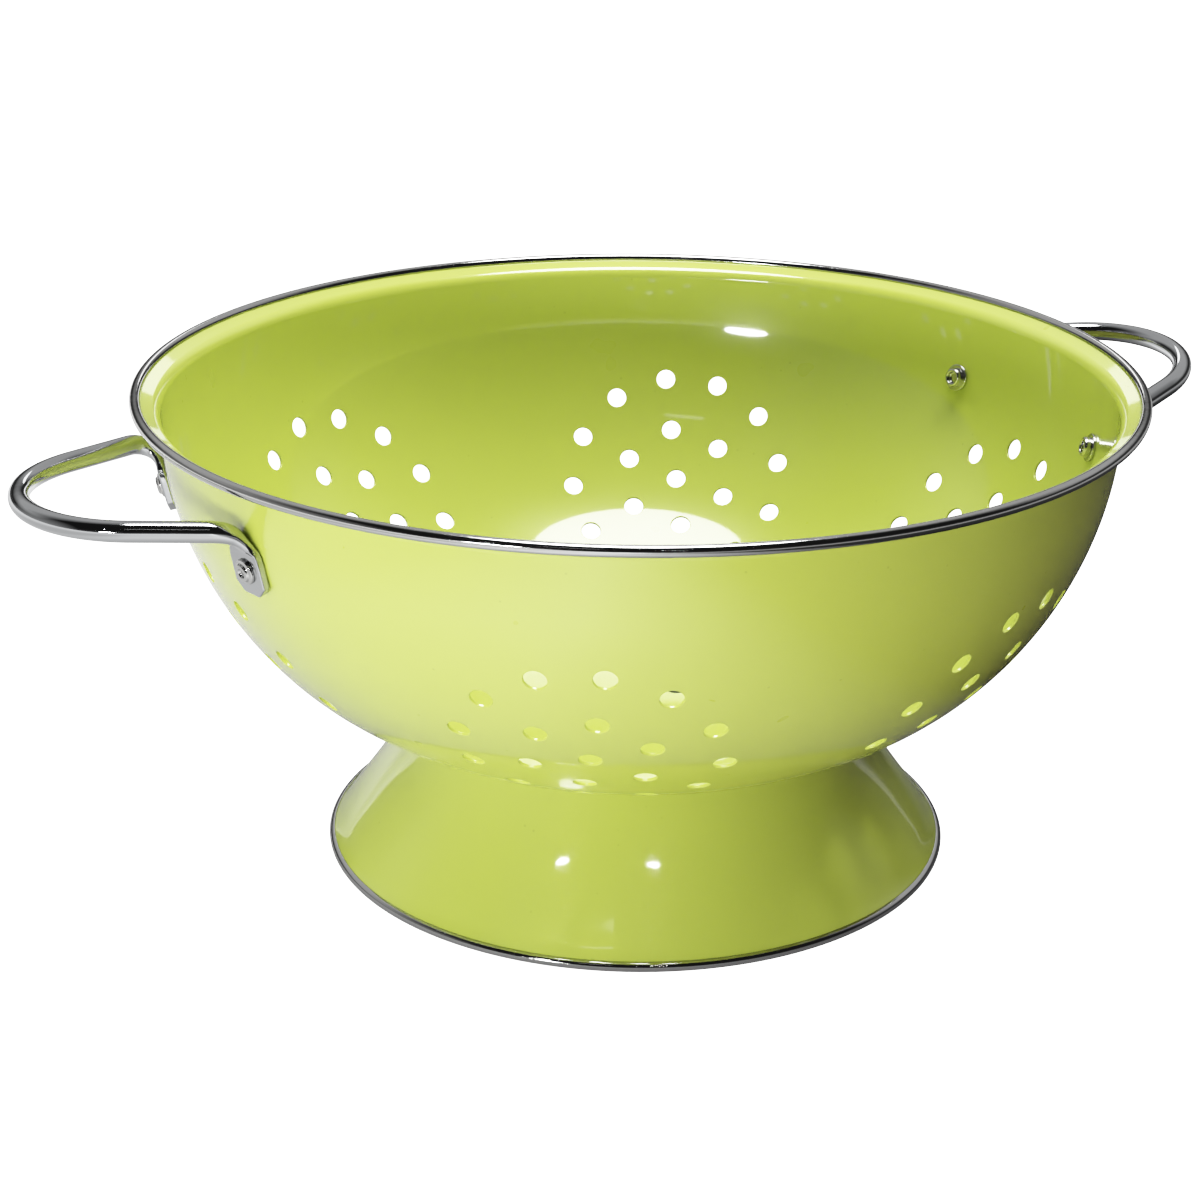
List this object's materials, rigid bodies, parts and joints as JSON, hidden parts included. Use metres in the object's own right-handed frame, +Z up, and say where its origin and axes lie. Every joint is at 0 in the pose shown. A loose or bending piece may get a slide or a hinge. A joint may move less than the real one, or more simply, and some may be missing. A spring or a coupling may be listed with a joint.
{
  "type": "footed colander",
  "caption": "Footed metal colander: lime powder-coated bowl with rosettes of drain holes, bright rolled rim, flared pedestal foot and riveted side loop handles.",
  "frame": {"origin": "on the surface the colander stands on, under the bowl's axis", "axes": "+Z up along the bowl's axis, +X through the middle of the right handle, +Y towards the rear of the bowl"},
  "size_m": [0.3646, 0.29, 0.1437],
  "materials": {
    "lime_coat": "glossy powder coat, lime green, with a slight orange peel",
    "bright_steel": "polished stainless strip",
    "chromed_rod": "bright chromed steel rod with faint drawing lines",
    "rivet_metal": "bright nickel-plated steel",
    "washer_metal": "bright nickel-plated steel"
  },
  "bodies": {
    "root": {"bowl": "lime_coat", "foot": "lime_coat", "rim_band": "bright_steel", "foot_band": "bright_steel", "handle_right": "chromed_rod", "handle_left": "chromed_rod", "rivet_right_front": "rivet_metal", "washer_right_front": "washer_metal", "rivet_right_rear": "rivet_metal", "washer_right_rear": "washer_metal", "rivet_left_front": "rivet_metal", "washer_left_front": "washer_metal", "rivet_left_rear": "rivet_metal", "washer_left_rear": "washer_metal"}
  },
  "joints": []
}
